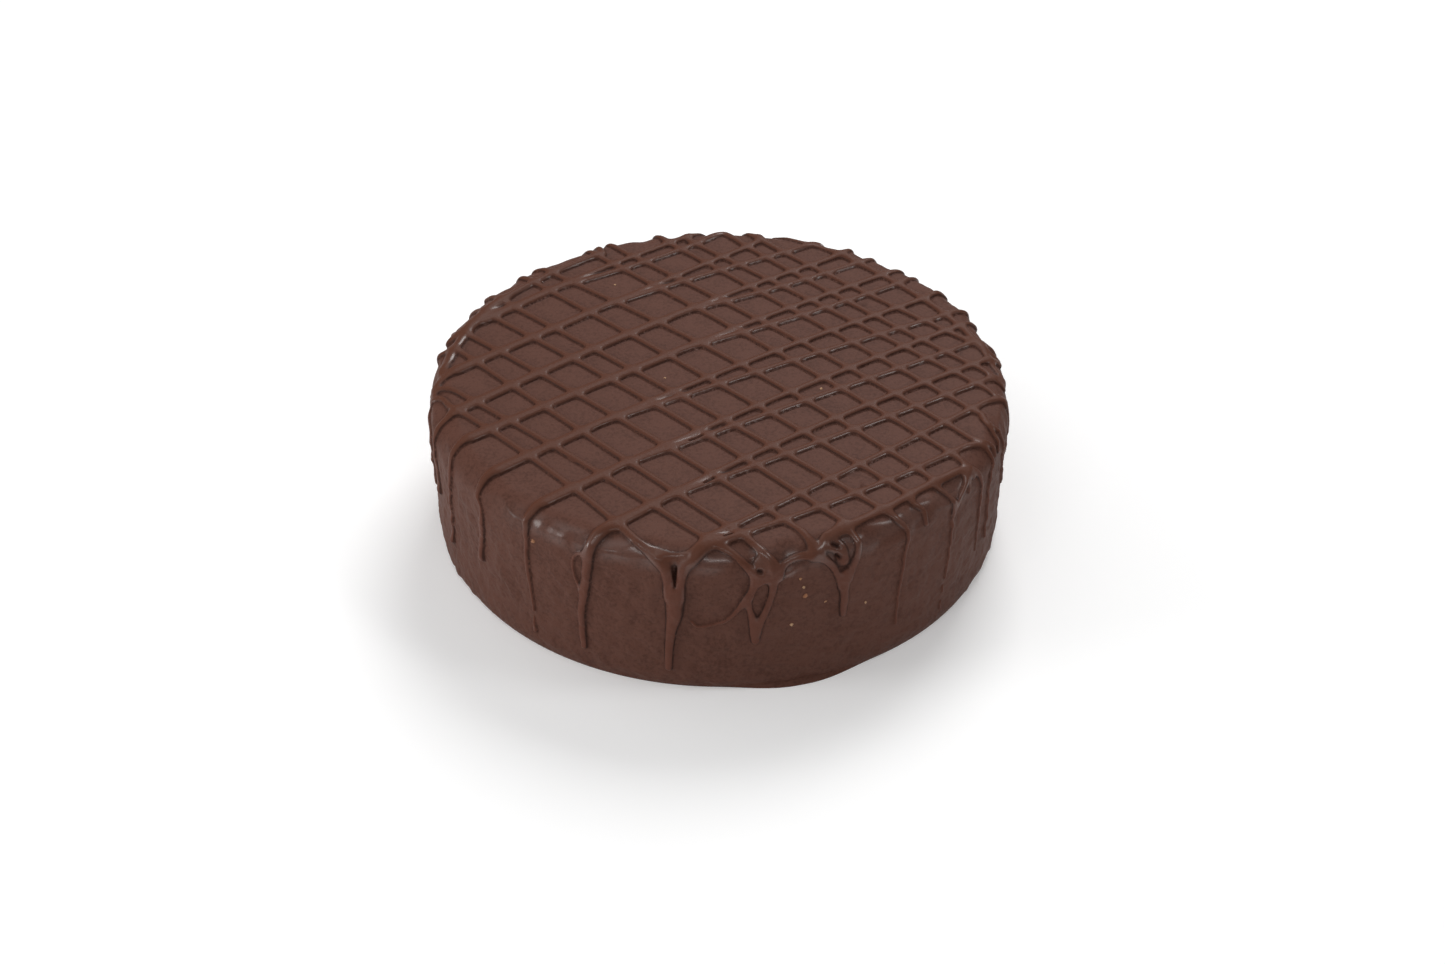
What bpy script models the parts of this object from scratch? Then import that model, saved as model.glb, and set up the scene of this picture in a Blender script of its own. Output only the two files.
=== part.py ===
"""Mud cake: a round cake under dark chocolate glaze, with a lattice of glaze drizzled over its top.

The cake stands on the origin, +Z up, with its front towards -Y. Lengths below are in mm and angles
in degrees. Angles run anticlockwise from +X, seen from above, so the front is at -90. A place on
the skin is an angle and a distance down from the edge of the flat top, measured along the skin:
below 0 it lies on the flat top, up to SHOULDER_ARC on the rounded edge, and past that on the side.
"""
import math
import random

import bpy
from mathutils import Vector

MM = 0.001

# The cake
CAKE_RADIUS = 114.0
CAKE_HEIGHT = 64.0
SHOULDER = 9.5              # radius of the rounded top edge
SHOULDER_STEPS = 5
FOOT_INSET = 2.0            # how far the side draws in at the base
FOOT_HEIGHT = 7.0           # how far up the side that curve reaches
FOOT_STEPS = 2
SIDES = 60

TOP_RADIUS = CAKE_RADIUS - SHOULDER
SHOULDER_ARC = SHOULDER * math.pi / 2
SIDE_TOP = CAKE_HEIGHT - SHOULDER

# The drizzle. A strand's section has four corners, as shares of its width and of its rise above
# the glaze; the two at rise 0 lie SINK deep in the cake.
SECTION = ((-0.6, 0.0), (-0.27, 1.0), (0.27, 1.0), (0.6, 0.0))
SINK = 0.9
UNDER_WIDTH = 3.7           # width of a strand underneath
OVER_WIDTH = 3.9            # width of a strand on top
BROAD = 5.4                 # its width at the left rim, where two passes lie on each other
LEAST_RISE = 0.4            # a strand's rise is this plus RISE_SHARE of its width
RISE_SHARE = 0.2
OVER_LIFT, SECOND_LIFT = 0.1, 0.05  # how much more the strands on top rise, the first and second
TOP_PIECES = 4              # straight pieces that a strand on the flat top is made of
LAP = 2.0                   # how far a run starts back along what it carries on
HANG = 7.0                  # how far a loose end hangs over the top's edge
TIP = 1.8                   # length of the blunt tip of a loose end
TIP_WIDTH, TIP_RISE = 0.6, 0.4      # a tip's width and rise, as shares of the strand's
TOUCH = 0.1                 # a strand's end this near to the rim, or to a run's start, meets it

# Strands that lie underneath, from the left rim to the front and right rim: the angle where a
# strand starts, the angle where it ends, and how far it bows to the left of its way.
UNDER_STRANDS = (
    (-165.5, -109.1, 2.1), (-173.0, -92.6, 1.1), (172.3, -84.6, -0.4), (165.6, -73.6, 2.4),
    (156.3, -64.8, 3.6), (149.9, -55.8, 1.4), (139.3, -48.2, 1.4), (133.7, -41.0, 5.6),
    (120.4, -31.5, 2.0), (114.5, -24.1, 2.8), (102.6, -15.1, 0.8), (97.5, -4.9, 0.7),
    (86.4, 2.0, -1.2), (79.7, 13.2, -0.7), (57.0, 20.5, 2.5),
)

# The strands on top were drizzled to and fro, so they come in pairs that turn at the left rim. Of
# the first: angle at the left, angle at the right, bow. Of the second: the share of the first's way
# at which it leaves the first, its angle at the right, its bow.
PAIRED_STRANDS = (
    ((-111.1, 5.1, 4.0), (0.11, -2.1, -0.4)),
    ((-126.9, 20.2, 2.6), (0.15, 12.7, 0.3)),
    ((-141.6, 33.7, 4.2), (0.2, 25.4, 1.5)),
    ((-154.4, 47.5, 3.0), (0.47, 42.2, -1.5)),
    ((-165.0, 60.9, 4.7), (0.57, 55.3, -1.6)),
    ((179.5, 80.6, 0.7), (0.42, 69.8, 1.8)),
    ((159.3, 101.5, 1.8), (0.36, 93.5, -1.8)),
)
SINGLE_STRANDS = ((150.0, 119.0, 2.5), (-91.7, -10.7, -0.5), (-87.3, -27.2, -2.5))

# Glaze that ran over the edge at the front and the sides, as waypoints: an angle, a distance down
# the skin and a width. A run that starts at a strand's end angle and at 0 down carries it on.
RUNS = (
    # left
    ((-165, 0, 5.2), (-163, 7, 4), (-161.3, 14, 3), (-161.6, 36, 3.6)),
    ((-165.5, 0, 3.7), (-169.7, 3.5, 3), (-172.5, 9, 2.8)),
    ((-173, 0, 3.7), (-174.3, 7.5, 3.2), (-168.5, 20, 2.4), (-169.6, 44, 3.2)),
    ((179.5, 0, 4.6), (183.2, 6.5, 3.6), (184.5, 11, 3)),
    ((-154.4, 0, 5), (-153, 8, 4), (-151.8, 15, 3), (-153.7, 48, 3.6)),
    ((-141.6, 0, 5.2), (-141, 9, 4), (-139.8, 15, 2.2), (-140.4, 26, 3.4), (-141.3, 41, 3.8)),
    ((-126.9, 0, 5.4), (-127.8, 8, 4.2), (-127.5, 15, 2.6), (-126.6, 50, 1.4)),
    ((-126.8, 55.5, 2), (-126.7, 60, 2.2)),
    # the broad one left of the middle, then two legs that meet in the broadest run
    ((-111.1, 0, 5.6), (-113.4, 9, 5.2), (-114.4, 24, 4.4), (-115.5, 57, 3.4)),
    ((-109.1, 0, 3.8), (-103.5, 6.2, 3.6), (-100, 13, 3.9), (-98.7, 24, 4.2)),
    ((-91.7, 0, 4.6), (-93.8, 6.2, 4.4), (-95.8, 12.5, 3.7), (-96.8, 24, 3.6)),
    ((-97.7, 23, 7.4), (-97.7, 32, 6.6), (-98.5, 44, 4.2), (-98.9, 59, 3.3)),
    # crossing runs right of the middle: two legs round a hole, and a thin tail
    ((-92.6, 0, 3.7), (-87.1, 6.6, 3.2), (-82.8, 16.3, 4.2)),
    ((-84.6, 0, 3.7), (-81.5, 7.4, 3.6), (-79.8, 16.5, 4.8)),
    ((-82.7, 15, 4.8), (-79.5, 15, 4.6)),
    ((-82.6, 15, 4.4), (-84.6, 26, 3), (-83.8, 35, 3.3), (-83, 45, 3.8)),
    ((-80, 15, 4.4), (-80.4, 25, 3.2), (-82.6, 39, 3.2)),
    ((-84.6, 25, 2.8), (-88, 34.3, 1.9), (-94.2, 38, 1.1)),
    # the arch to the next run and the glaze above it, then that run's loop and its stem
    ((-79.4, 14.2, 3.6), (-75.4, 9.4, 3), (-70.9, 11.6, 3.2), (-68, 20, 2.8)),
    ((-73.6, 0, 3.7), (-72.5, 9, 4.6)),
    ((-64.8, 0, 3.7), (-68.7, 4.4, 3.2), (-71.4, 9, 3.6)),
    ((-66, 3, 3.2), (-63.8, 9.2, 3.2), (-66, 22.7, 3.8)),
    ((-66.4, 21, 4.6), (-66.4, 39, 3.5)),
    # the strand on top that lies along the rim, and goes on as a run
    ((-69, 4.6, 3.6), (-55, 1, 3.9), (-46, 0.6, 3.9), (-35, 4.3, 3.9), (-30.4, 12.3, 2.8),
     (-29.7, 48, 1.6)),
    # right
    ((-55.8, 0, 3.7), (-53.4, 10, 2.8), (-54.6, 54, 1.4)),
    ((-48.2, 0, 3.7), (-48.2, 8, 2.6), (-48.4, 13, 2.2)),
    ((-41, 0, 3.7), (-40.7, 11.3, 2.8), (-41.5, 46, 1.5)),
    ((-34.4, 6.5, 2.8), (-38.4, 11.6, 2.4), (-40.6, 16, 2.6)),
    ((-27.2, 0, 3.9), (-24.9, 8, 2.8), (-26, 26, 1.9), (-25.6, 47, 1.6)),
    ((-24.1, 0, 3.4), (-22.9, 8, 2.4), (-22.9, 12, 2.2)),
    ((-15.1, 0, 3.6), (-19, 5.6, 3.2), (-20.6, 12, 3.2)),
    ((-17.8, 5, 2.4), (-16.9, 20, 1.9), (-14.5, 36, 1.9)),
    ((-10.7, 0, 3.9), (-6.7, 9, 3.2), (-6.4, 34, 2)),
)

# Round the back the glaze ran down from these strand ends, for lengths drawn by chance.
BACK_SEED = 7
BACK_ENDS = (12.7, 25.4, 42.2, 60.9, 80.6, 97.5, 119.0, 133.7, 156.3, 172.3)
BACK_SHORTEST, BACK_LONGEST = 16.0, 54.0
BACK_WIDTHS = (1.75, 3.0)   # least and greatest width at a run's low end
BACK_WIDENING = 0.7         # how much broader it is where the edge's curve ends
BACK_SWAY = 1.5             # most that a run round the back strays to a side, in degrees,
BACK_BEND = 9.0             # and how far down it has done so

GLAZE_COLOUR = (0.084, 0.038, 0.028, 1.0)
GLAZE_ROUGHNESS = 0.42
SHARPEST_SMOOTH = 30        # edges that turn by more than this stay sharp in the shading


def skin(angle, down):
    """The point on the cake's skin at an angle and a distance down, and the way out there."""
    turn = math.radians(angle)
    if down <= 0:
        radius, height, tilt = TOP_RADIUS + down, CAKE_HEIGHT, math.pi / 2
    elif down <= SHOULDER_ARC:
        tilt = math.pi / 2 - down / SHOULDER
        radius = TOP_RADIUS + SHOULDER * math.cos(tilt)
        height = SIDE_TOP + SHOULDER * math.sin(tilt)
    else:
        radius, height, tilt = CAKE_RADIUS, SIDE_TOP - (down - SHOULDER_ARC), 0.0
    outward = Vector((math.cos(turn), math.sin(turn), 0))
    point = outward * radius + Vector((0, 0, height))
    way_out = outward * math.cos(tilt) + Vector((0, 0, math.sin(tilt)))
    return point, way_out


def between(low, high, share):
    """From low to high as the share goes from 0 to 1, and level outside that."""
    return low + (high - low) * min(max(share, 0.0), 1.0)


def mesh_object(name, rings, collection):
    """An object whose skin joins rings of corners, given in mm, with a flat cap at each end."""
    size = len(rings[0])
    corners = [corner * MM for ring in rings for corner in ring]
    faces = []
    for start in range(0, len(corners) - size, size):
        for corner in range(size):
            after = (corner + 1) % size
            faces.append((start + corner, start + after, start + size + after, start + size + corner))
    faces.append(tuple(reversed(range(size))))
    faces.append(tuple(range(len(corners) - size, len(corners))))
    mesh = bpy.data.meshes.new(name)
    mesh.from_pydata(corners, [], faces)
    piece = bpy.data.objects.new(name, mesh)
    collection.objects.link(piece)
    return piece


def cake_profile():
    """Radius and height from the base up: the foot's curve, the side and the rounded shoulder."""
    profile = []
    for step in range(FOOT_STEPS + 1):
        share = step / FOOT_STEPS
        profile.append((CAKE_RADIUS - FOOT_INSET * (1 - share) ** 2, FOOT_HEIGHT * share))
    for step in range(SHOULDER_STEPS + 1):
        turn = math.pi / 2 * step / SHOULDER_STEPS
        radius = TOP_RADIUS + SHOULDER * math.cos(turn)
        profile.append((radius, SIDE_TOP + SHOULDER * math.sin(turn)))
    return profile


def make_body(collection):
    """The cake without its drizzle: the profile turned round the upright axis."""
    turns = [2 * math.pi * side / SIDES for side in range(SIDES)]
    rings = [[Vector((radius * math.cos(turn), radius * math.sin(turn), height)) for turn in turns]
             for radius, height in cake_profile()]
    return mesh_object("cake", rings, collection)


def make_strand(name, stations, lift, collection):
    """A closed strip of glaze along stations: angle, distance down, width and share of the rise."""
    places = [skin(angle, down) for angle, down, _, _ in stations]
    rings = []
    for number, (_, _, width, rise_share) in enumerate(stations):
        point, way_out = places[number]
        before = places[max(number - 1, 0)][0]
        after = places[min(number + 1, len(places) - 1)][0]
        across = (after - before).cross(way_out).normalized()
        rise = (LEAST_RISE + RISE_SHARE * width + lift) * rise_share
        rings.append([point + across * (share * width) + way_out * (up * rise if up else -SINK)
                      for share, up in SECTION])
    return mesh_object(name, rings, collection)


def rim_spot(angle):
    turn = math.radians(angle)
    return Vector((math.cos(turn), math.sin(turn))) * TOP_RADIUS


def bowed(begin, finish, bow, share):
    """A spot on the way from begin to finish, pushed to the left by a parabola of height bow."""
    way = finish - begin
    left = Vector((-way.y, way.x)).normalized()
    return begin + way * share + left * (bow * 4 * share * (1 - share))


def strand_on_top(name, begin, finish, bow, widths, lift, run_starts, collection):
    """A strand over the flat top, between two spots on it.

    widths are those at the begin and past the middle. An end at the rim where no run starts hangs
    over the edge to a tip.
    """
    length = (finish - begin).length
    shares = [piece / TOP_PIECES for piece in range(TOP_PIECES + 1)]
    overhang = [HANG / 2 / length, HANG / length, (HANG + TIP) / length]
    if is_loose(begin, run_starts):
        shares = [-part for part in reversed(overhang)] + shares
    if is_loose(finish, run_starts):
        shares += [1 + part for part in overhang]
    stations = []
    for share in shares:
        spot = bowed(begin, finish, bow, share)
        width, rise_share = between(*widths, 2 * share), 1.0
        if share in (-overhang[-1], 1 + overhang[-1]):
            width, rise_share = width * TIP_WIDTH, TIP_RISE
        angle = math.degrees(math.atan2(spot.y, spot.x))
        stations.append((angle, spot.length - TOP_RADIUS, width, rise_share))
    make_strand(name, stations, lift, collection)


def is_loose(spot, run_starts):
    """Whether a strand's end lies at the rim where no run carries it on."""
    at_rim = abs(spot.length - TOP_RADIUS) < TOUCH
    return at_rim and all((spot - start).length > TOUCH for start in run_starts)


def make_lattice(run_starts, collection):
    """The strands on the flat top: single ones underneath, and pairs and single ones over them."""
    for number, (start, end, bow) in enumerate(UNDER_STRANDS):
        strand_on_top(f"under_{number}", rim_spot(start), rim_spot(end), bow,
                      (UNDER_WIDTH, UNDER_WIDTH), 0, run_starts, collection)
    for number, ((start, end, bow), (leaves, second_end, second_bow)) in enumerate(PAIRED_STRANDS):
        begin, finish = rim_spot(start), rim_spot(end)
        parting = bowed(begin, finish, bow, leaves)
        strand_on_top(f"first_{number}", begin, finish, bow,
                      (BROAD, OVER_WIDTH), OVER_LIFT, run_starts, collection)
        strand_on_top(f"second_{number}", parting, rim_spot(second_end), second_bow,
                      (OVER_WIDTH, OVER_WIDTH), SECOND_LIFT, run_starts, collection)
    for number, (start, end, bow) in enumerate(SINGLE_STRANDS):
        strand_on_top(f"single_{number}", rim_spot(start), rim_spot(end), bow,
                      (OVER_WIDTH, OVER_WIDTH), OVER_LIFT, run_starts, collection)


def back_runs():
    """Runs down the back, in the form of RUNS: each from a strand's end, straight but for a sway."""
    chance = random.Random(BACK_SEED)
    runs = []
    for angle in BACK_ENDS:
        length = chance.uniform(BACK_SHORTEST, BACK_LONGEST)
        sway = chance.uniform(-BACK_SWAY, BACK_SWAY)
        low_width = chance.uniform(*BACK_WIDTHS)
        runs.append(((angle, 0, UNDER_WIDTH), (angle + sway, BACK_BEND, low_width + BACK_WIDENING),
                     (angle + sway, length, low_width)))
    return tuple(runs)


def make_runs(runs, collection):
    """Glaze that ran over the edge, each run with a blunt tip."""
    for number, waypoints in enumerate(runs):
        start_angle, start_down, top_width = waypoints[0]
        stations = [(start_angle, start_down - LAP, top_width, 1)]
        stations += [(*waypoint, 1) for waypoint in waypoints[1:]]
        angle, down, low_width = waypoints[-1]
        stations.append((angle, down + TIP, low_width * TIP_WIDTH, TIP_RISE))
        make_strand(f"run_{number}", stations, 0, collection)


def fuse(body, collection):
    """Joins the collection's pieces to the body for good, and removes them."""
    union = body.modifiers.new("drizzle", "BOOLEAN")
    union.operation = "UNION"
    union.operand_type = "COLLECTION"
    union.collection = collection
    bpy.context.view_layer.objects.active = body
    bpy.ops.object.modifier_apply(modifier=union.name)
    for piece in list(collection.objects):
        bpy.data.objects.remove(piece)
    bpy.data.collections.remove(collection)


def give_glaze(body):
    """The glaze's colour and finish, and smooth shading broken only at the strands' edges."""
    glaze = bpy.data.materials.new("chocolate_glaze")
    glaze.use_nodes = True
    shader = glaze.node_tree.nodes["Principled BSDF"]
    shader.inputs["Base Color"].default_value = GLAZE_COLOUR
    shader.inputs["Roughness"].default_value = GLAZE_ROUGHNESS
    shader.inputs["Metallic"].default_value = 0.0
    body.data.materials.clear()
    body.data.materials.append(glaze)
    body.data.shade_smooth()
    body.data.set_sharp_from_angle(angle=math.radians(SHARPEST_SMOOTH))


def main():
    for thing in list(bpy.data.objects):
        bpy.data.objects.remove(thing)
    room = bpy.context.scene.collection
    drizzle = bpy.data.collections.new("drizzle")
    room.children.link(drizzle)
    runs = RUNS + back_runs()
    body = make_body(room)
    make_lattice([rim_spot(waypoints[0][0]) for waypoints in runs if waypoints[0][1] == 0], drizzle)
    make_runs(runs, drizzle)
    fuse(body, drizzle)
    give_glaze(body)


main()
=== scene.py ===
"""The looks of a mud cake: a round cake under dark chocolate glaze, with a lattice of glaze
drizzled over its top, runs of it down the side and a few crumbs caught in it.

Lengths are in mm and angles in degrees until a mesh is made, which is in metres. Angles run
anticlockwise from +X, seen from above, so the front is at -90. A place on the skin is an angle and
a distance down from the edge of the flat top, measured along the skin: below 0 it lies on the flat
top, up to SHOULDER_ARC on the rounded edge, and past that on the side.
"""
import math
import random

import bpy
import numpy as np
from mathutils import Matrix, Vector


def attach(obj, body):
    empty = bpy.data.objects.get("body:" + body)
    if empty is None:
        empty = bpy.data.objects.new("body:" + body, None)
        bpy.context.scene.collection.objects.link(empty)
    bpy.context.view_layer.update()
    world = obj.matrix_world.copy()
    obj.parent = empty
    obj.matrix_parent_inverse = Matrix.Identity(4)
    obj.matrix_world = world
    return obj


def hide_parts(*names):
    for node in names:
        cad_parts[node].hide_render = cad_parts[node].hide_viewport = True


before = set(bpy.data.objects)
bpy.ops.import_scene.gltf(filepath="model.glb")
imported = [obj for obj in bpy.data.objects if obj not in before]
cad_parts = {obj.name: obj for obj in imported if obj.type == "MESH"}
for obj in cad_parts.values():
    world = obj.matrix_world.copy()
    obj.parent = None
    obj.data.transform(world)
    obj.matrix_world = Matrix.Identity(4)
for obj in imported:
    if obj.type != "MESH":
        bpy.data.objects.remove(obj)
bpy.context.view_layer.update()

MM = 0.001

# ---- sizes of the cake
CAKE_RADIUS = 114.0
CAKE_HEIGHT = 64.0
SHOULDER = 9.5              # radius of the rounded top edge
FOOT_INSET = 2.0            # how far the side draws in at the base
FOOT_HEIGHT = 7.0           # how far up the side that curve reaches

TOP_RADIUS = CAKE_RADIUS - SHOULDER
SHOULDER_ARC = SHOULDER * math.pi / 2
SIDE_TOP = CAKE_HEIGHT - SHOULDER
SIDE_END = SHOULDER_ARC + SIDE_TOP  # distance down at which the side meets the base

# ---- the drizzle on the top
UNDER_WIDTH = 3.5           # width of a strand underneath
OVER_WIDTH = 3.8            # width of a strand on top
BROAD, NARROWS_BY = 5.2, 0.12  # its width at the left rim, and the share of its way to OVER_WIDTH
LEAST_RISE = 0.45           # a strand's rise is this plus RISE_SHARE of its width
RISE_SHARE = 0.25
OVER_LIFT, SECOND_LIFT = 0.1, 0.05  # how much more the strands on top rise, the first and second

# Strands that lie underneath, from the left rim to the front and right rim: the angle where a
# strand starts, the angle where it ends, and how far it bows to the left of its way.
UNDER_STRANDS = (
    (-165.5, -109.1, 2.1), (-173.0, -92.6, 1.1), (172.3, -84.6, -0.4), (165.6, -73.6, 2.4),
    (156.3, -64.8, 3.6), (149.9, -55.8, 1.4), (139.3, -48.2, 1.4), (133.7, -41.0, 5.6),
    (120.4, -31.5, 2.0), (114.5, -24.1, 2.8), (102.6, -15.1, 0.8), (97.5, -4.9, 0.7),
    (86.4, 2.0, -1.2), (79.7, 13.2, -0.7), (57.0, 20.5, 2.5),
)

# The strands on top were drizzled to and fro, so they come in pairs that turn at the left rim. Of
# the first: angle at the left, angle at the right, bow. Of the second: the share of the first's way
# at which it leaves the first, its angle at the right, its bow.
PAIRED_STRANDS = (
    ((-111.1, 5.1, 4.0), (0.11, -2.1, -0.4)),
    ((-126.9, 20.2, 2.6), (0.15, 12.7, 0.3)),
    ((-141.6, 33.7, 4.2), (0.2, 25.4, 1.5)),
    ((-154.4, 47.5, 3.0), (0.47, 42.2, -1.5)),
    ((-165.0, 60.9, 4.7), (0.57, 55.3, -1.6)),
    ((179.5, 80.6, 0.7), (0.42, 69.8, 1.8)),
    ((159.3, 101.5, 1.8), (0.36, 93.5, -1.8)),
)
SINGLE_STRANDS = ((150.0, 119.0, 2.5), (-91.7, -10.7, -0.5), (-87.3, -27.2, -2.5))

# ---- the runs down the side
# Each run's waypoints: angle, distance down, width. A run that starts at a strand's end angle and
# at 0 down carries that strand on.
RUNS = (
    # left
    ((-165, 0, 5.2), (-163.6, 4, 4.6), (-162.6, 8, 3.8), (-161.3, 13, 3), (-161.2, 26, 2.8),
     (-161.6, 36.5, 3.8)),
    ((-165.5, 0, 3.7), (-167.1, 1.9, 3.4), (-169.7, 3.5, 3), (-171.5, 5.8, 3), (-172.5, 9, 2.8)),
    ((-173, 0, 3.7), (-174, 3.5, 3.6), (-174.3, 7.5, 3.2), (-171.5, 12, 2.6), (-168.5, 20, 2.4),
     (-169.6, 44, 3.2)),
    ((179.5, 0, 4.6), (181.5, 3, 4.2), (183.2, 6.5, 3.6), (184.5, 11, 3)),
    ((-154.4, 0, 5), (-153.5, 5, 4.4), (-152.6, 10, 3.6), (-151.8, 15, 3), (-152.6, 28, 2.8),
     (-153.5, 43, 2.9), (-153.7, 49, 4)),
    ((-141.6, 0, 5.2), (-141.4, 6, 4.6), (-141, 10, 3.6), (-140, 14, 1.9), (-139.6, 18, 2.6),
     (-140.2, 25, 3.6), (-141, 34, 3.2), (-141.3, 41.5, 4.2)),
    ((-126.9, 0, 5.4), (-127.4, 4.5, 5.2), (-127.8, 9, 3.8), (-127.4, 14, 2.7), (-127.6, 30, 2.2),
     (-127, 42, 1.7), (-126.6, 50, 1.2)),
    ((-126.8, 53.5, 1), (-126.8, 57, 2), (-126.7, 60, 2.2)),
    # the broad one left of the middle, and the thin loop beside it
    ((-111.1, 0, 5.6), (-112.5, 4.5, 5.4), (-113.4, 9, 5.2), (-113.8, 14, 5), (-114.4, 24, 4.4),
     (-115.3, 36, 4), (-115.7, 47, 3.6), (-115.5, 57, 3.4)),
    ((-113.8, 13.6, 1.6), (-114.6, 13.3, 1.5), (-115.6, 13.6, 1.5), (-116.6, 15.4, 1.5),
     (-117.1, 18.1, 1.4), (-117.1, 20.8, 1.3), (-116.8, 25.3, 1.1), (-116.1, 29.5, 1.2),
     (-115.3, 31.7, 1.3)),
    # two legs that meet in the broadest run
    ((-109.1, 0, 3.8), (-106, 3.7, 3.8), (-102.4, 7.4, 4.2), (-100.6, 10.2, 4.7), (-99.3, 12.8, 5),
     (-98.7, 19, 4.2), (-98.5, 25, 4.2)),
    ((-91.7, 0, 4.8), (-92.6, 4, 5), (-93.9, 7, 5), (-95.1, 9.5, 5.2), (-96, 12.2, 4.8),
     (-96.5, 18.5, 3.6), (-96.7, 25, 3.8)),
    ((-97.7, 22, 7.4), (-97.7, 32.2, 6.8), (-98.3, 40.3, 4.6), (-98.7, 48.4, 3.7),
     (-98.9, 59, 3.3)),
    # the crossing runs right of the middle: a web, two legs round a hole, and a thin tail
    ((-92.6, 0, 3.7), (-89.4, 4, 3.4), (-87.1, 6.6, 3.2), (-85.3, 10, 3.2), (-83.7, 13.4, 4),
     (-82.8, 16.3, 4.2)),
    ((-84.6, 0, 3.7), (-82.6, 4.9, 3.4), (-81.3, 7.8, 3.6), (-80.2, 10.8, 4.6), (-79.8, 15.5, 4.8)),
    ((-82.9, 15.8, 4.4), (-81.2, 15.4, 4.4), (-79.8, 14.4, 4.6)),
    ((-82.6, 14.5, 4.6), (-84, 22, 3.6), (-84.6, 25.5, 3.2), (-84.2, 30, 2.6), (-83.6, 35.6, 3.4),
     (-83, 45, 3.8)),
    ((-80, 14.5, 4.4), (-80.2, 23, 3.2), (-81.1, 29.8, 3.4), (-82.3, 36.6, 3.4), (-82.8, 41, 3.2)),
    ((-84.6, 24, 3), (-86.3, 30, 2.6), (-88, 34.3, 2.2), (-90.1, 36.8, 1.8), (-91.8, 37.8, 1.6),
     (-93.6, 38.2, 1.5), (-94.6, 36, 1.1)),
    # the arch to the next run, and the glaze that hangs above it
    ((-79.4, 14.2, 3.6), (-77.7, 11, 3), (-75.4, 9.4, 3), (-73, 9.8, 3.2), (-70.9, 11.6, 3.2),
     (-69.3, 14.9, 2.8), (-68.1, 19.9, 2.8), (-67.1, 25.9, 2.8)),
    ((-73.6, 0, 3.7), (-72.8, 4, 3.8), (-72.4, 7, 4.8), (-72.6, 9.4, 4.4)),
    # that run's loop and its stem
    ((-64.8, 0, 3.7), (-66.3, 2.9, 3.2), (-68.7, 4.4, 3.2), (-70.5, 6.4, 3.2), (-71.4, 9.2, 3.6)),
    ((-66, 2.6, 3.2), (-64.5, 5.3, 3.2), (-63.8, 9.2, 3.2), (-64.2, 12.8, 3.2), (-65, 17.2, 3.4),
     (-66, 22.7, 3.8)),
    ((-66.4, 20, 4.6), (-66.5, 27, 4), (-66.4, 39, 3.5)),
    # the strand on top that lies along the rim, and goes on as a run
    ((-69.3, 4.7, 3.6), (-62.4, 2.3, 3.8), (-54.8, 1, 3.9), (-46.4, 0.5, 3.9), (-39.8, 2.3, 3.9),
     (-34.8, 4.3, 3.9), (-31.6, 8, 3.6), (-30.4, 12.3, 2.8), (-29.8, 20, 2.2), (-30, 34, 1.8),
     (-29.6, 48, 1.5)),
    # right
    ((-55.8, 0, 3.7), (-54.4, 6.9, 3.2), (-53.3, 10.8, 2.8), (-53.2, 15, 2.4), (-53.8, 25, 2),
     (-54.3, 40, 1.6), (-54.6, 54, 1.4)),
    ((-48.2, 0, 3.7), (-49.3, 4, 3), (-48.2, 7.9, 2.6), (-48.4, 13, 2.2)),
    ((-41, 0, 3.7), (-41.9, 4, 3.2), (-41.3, 7, 2.8), (-40.6, 11.3, 2.8), (-40.6, 16.3, 2.6),
     (-40.8, 26, 2), (-41.5, 46, 1.5)),
    ((-41.9, 49.6, 1), (-42, 52.4, 1.2)),
    ((-42.1, 57, 1.1), (-42.1, 60.4, 1.3)),
    ((-34.4, 6.5, 2.8), (-36, 9.3, 2.6), (-38.6, 11.8, 2.4), (-40.4, 15.5, 2.6)),
    ((-33.7, 7.5, 2.4), (-34.6, 10.5, 2), (-35.1, 13.5, 1.6)),
    ((-27.2, 0, 3.9), (-25.6, 3.1, 3.4), (-25, 6.1, 3), (-24.8, 10.1, 2.6), (-25.1, 14, 2.2),
     (-26, 26, 1.8), (-25.6, 47, 1.6)),
    ((-24.1, 0, 3.4), (-23.9, 4.5, 3), (-22.9, 8, 2.4), (-22.9, 12, 2.2)),
    ((-15.1, 0, 3.6), (-17.4, 2.2, 3.4), (-19, 5.6, 3.2), (-20.2, 10, 3.2), (-20.7, 12, 3.2)),
    ((-17.8, 4, 2.4), (-17.2, 10, 2), (-16.8, 20, 1.9), (-14.5, 36, 1.9)),
    ((-10.7, 0, 3.9), (-8.3, 4.5, 3.6), (-6.7, 9, 3.2), (-6.4, 14, 2.4), (-6.4, 34, 2)),
)

# Films of glaze between runs, which lie lower than they do: waypoints as above.
FILMS = (
    ((-101.5, 7.6, 4.4), (-98.2, 8.8, 4.8), (-95.2, 7.8, 4.4)),
    ((-82.4, 10, 5), (-81.4, 12.6, 5), (-80.6, 15, 4.4)),
    ((-69.5, 7, 5), (-67.6, 9.5, 6), (-67, 14, 5)),
)
FILM_RISE = 0.9

# Narrow pits where glaze didn't quite close over, also darkened by painted shade: waypoints as
# above, and how deep they are.
PITS = (
    ((-97.5, 12.5, 0.9), (-97.5, 16.5, 1.1), (-97.5, 19.5, 0.8)),
    ((-82.8, 12.5, 1.4), (-82.3, 12.7, 1.4)),
    ((-68.6, 7.6, 1.8), (-67.8, 8.6, 1.8)),
    ((-68.3, 11.3, 1.3), (-67.7, 12.5, 1.3)),
    ((-103.1, -56.8, 1), (-98.3, -60.9, 1)),
    ((-93.9, -31.4, 1), (-91.3, -34.3, 1)),
    ((-88.6, 0, 1), (-87.2, -1.2, 1)),
)
PIT_DEPTH = 1.1

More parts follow.
